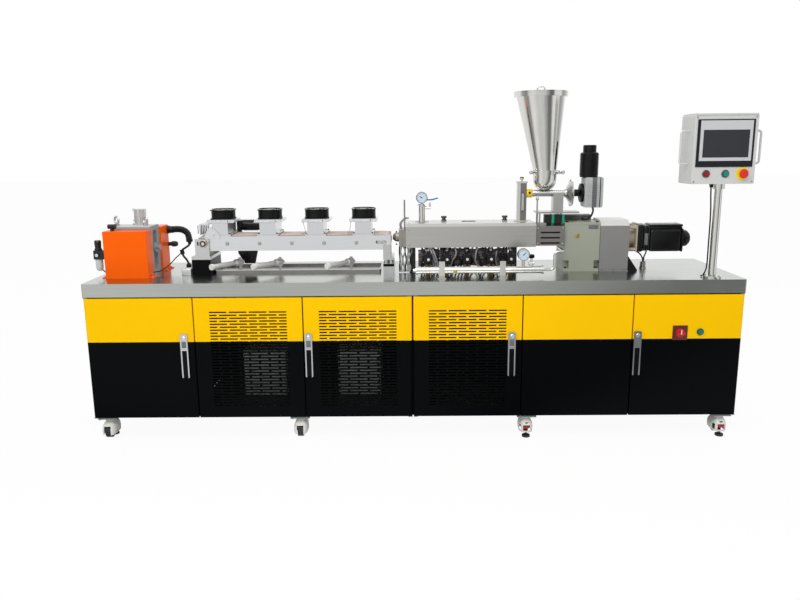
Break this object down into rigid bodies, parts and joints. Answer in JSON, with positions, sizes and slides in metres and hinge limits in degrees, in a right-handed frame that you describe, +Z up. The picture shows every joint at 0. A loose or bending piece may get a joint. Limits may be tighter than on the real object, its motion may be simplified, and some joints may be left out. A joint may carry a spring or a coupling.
{
  "type": "laboratory plastic extruder and pelletizing line",
  "caption": "Bench line with twin-screw extruder, hopper feeder, air-cooled belt, pelletizer and operator panel on a doored cabinet.",
  "frame": {"origin": "on the floor under the middle of the bench", "axes": "+X along the bench to the drive motor, +Y to the back, +Z up"},
  "size_m": [3.026, 0.668, 1.6183],
  "materials": {
    "stainless": "brushed stainless sheet",
    "polished_steel": "polished stainless",
    "two_tone_paint": "gloss yellow over black powder coat",
    "frame_paint": "black powder coat",
    "orange_paint": "semi-gloss orange",
    "cast_grey": "machined grey casting",
    "anodised": "clear anodised",
    "light_grey_paint": "light grey coat",
    "caster_white": "white die casting",
    "caster_tyre": "black solid tyre",
    "zinc_steel": "zinc plated",
    "belt": "smooth belt",
    "black_plastic": "matt black",
    "grey_green_paint": "semi-gloss grey-green",
    "beige_casting": "painted casting",
    "motor_black": "gloss black",
    "screen": "glossy display",
    "buttons": "coloured plastic",
    "red_plastic": "gloss red",
    "gauge": "bright case",
    "tank_plastic": "light grey moulding",
    "trunking": "grey extruded plastic"
  },
  "bodies": {
    "root": {"air_fittings": "black_plastic", "barrel_cover": "stainless", "barrel_supports": "cast_grey", "belt_drive": "motor_black", "belt_rollers": "zinc_steel", "bench_top": "stainless", "cabinet_frame": "frame_paint", "cabinet_panels": "two_tone_paint", "caster_housings": "caster_white", "caster_wheels": "caster_tyre", "conveyor_belt": "belt", "conveyor_feet": "light_grey_paint", "conveyor_frame": "light_grey_paint", "cooling_ducts": "light_grey_paint", "coupling_cover": "stainless", "cutter_housing": "cast_grey", "die_head": "stainless", "fan_frames": "black_plastic", "fan_guards": "polished_steel", "fan_rotors": "black_plastic", "feed_hopper": "polished_steel", "feed_vent_post": "stainless", "feeder_barrel": "stainless", "feeder_drive": "motor_black", "feeder_stand": "stainless", "front_panels": "two_tone_paint", "gearbox": "grey_green_paint", "hinge_pins": "frame_paint", "levelling_feet": "zinc_steel", "lifting_eyes": "polished_steel", "main_motor": "motor_black", "motor_adapter": "beige_casting", "operator_box": "light_grey_paint", "operator_post": "stainless", "operator_screen": "screen", "pelletizer_covers": "orange_paint", "press_cylinder": "anodised", "pressure_gauges": "gauge", "push_buttons": "buttons", "solenoid_valves": "black_plastic", "strand_guides": "polished_steel", "strand_tray": "stainless", "vacuum_port": "stainless", "vent_box": "stainless", "water_manifold": "stainless", "water_tank": "tank_plastic", "wiring_trunking": "trunking"},
    "door_1": {"door_1": "two_tone_paint"},
    "door_3": {"door_3": "two_tone_paint"},
    "door_4": {"door_4": "two_tone_paint"},
    "door_6": {"door_6": "two_tone_paint", "switch_plate_and_lamp": "buttons"},
    "lever_1": {"handle_lever_1": "black_plastic"},
    "lever_3": {"handle_lever_3": "black_plastic"},
    "lever_4": {"handle_lever_4": "black_plastic"},
    "lever_6": {"handle_lever_6": "black_plastic"},
    "switch_knob": {"main_switch_knob": "red_plastic"},
    "hopper_lid": {"hopper_lid": "polished_steel"},
    "emergency_stop": {"emergency_stop": "red_plastic"}
  },
  "joints": [
    {"name": "door_1_hinge", "type": "hinge", "parent": "root", "child": "door_1", "pos_m": [-1.487, -0.304, 0.397], "axis": [0, 0, -1], "range_deg": [0, 110]},
    {"name": "door_3_hinge", "type": "hinge", "parent": "root", "child": "door_3", "pos_m": [-0.013, -0.304, 0.397], "axis": [0, 0, 1], "range_deg": [0, 110]},
    {"name": "door_4_hinge", "type": "hinge", "parent": "root", "child": "door_4", "pos_m": [0.013, -0.304, 0.397], "axis": [0, 0, 1], "range_deg": [-110, 0]},
    {"name": "door_6_hinge", "type": "hinge", "parent": "root", "child": "door_6", "pos_m": [1.487, -0.304, 0.397], "axis": [0, 0, 1], "range_deg": [0, 110]},
    {"name": "lever_1_pull", "type": "hinge", "parent": "door_1", "child": "lever_1", "pos_m": [-1.048, -0.319, 0.433], "axis": [-1, 0, 0], "range_deg": [0, 45]},
    {"name": "lever_3_pull", "type": "hinge", "parent": "door_3", "child": "lever_3", "pos_m": [-0.477, -0.319, 0.433], "axis": [-1, 0, 0], "range_deg": [0, 45]},
    {"name": "lever_4_pull", "type": "hinge", "parent": "door_4", "child": "lever_4", "pos_m": [0.452, -0.319, 0.433], "axis": [-1, 0, 0], "range_deg": [0, 45]},
    {"name": "lever_6_pull", "type": "hinge", "parent": "door_6", "child": "lever_6", "pos_m": [1.023, -0.319, 0.433], "axis": [-1, 0, 0], "range_deg": [0, 45]},
    {"name": "main_switch_turn", "type": "hinge", "parent": "door_6", "child": "switch_knob", "pos_m": [1.215, -0.326, 0.506], "axis": [0, 1, 0], "range_deg": [0, 90]},
    {"name": "hopper_lid_lift", "type": "slide", "parent": "root", "child": "hopper_lid", "axis": [0, 0, 1], "range_m": [0, 0.15]},
    {"name": "emergency_stop_press", "type": "slide", "parent": "root", "child": "emergency_stop", "axis": [0, 1, 0], "range_m": [0, 0.004]}
  ]
}
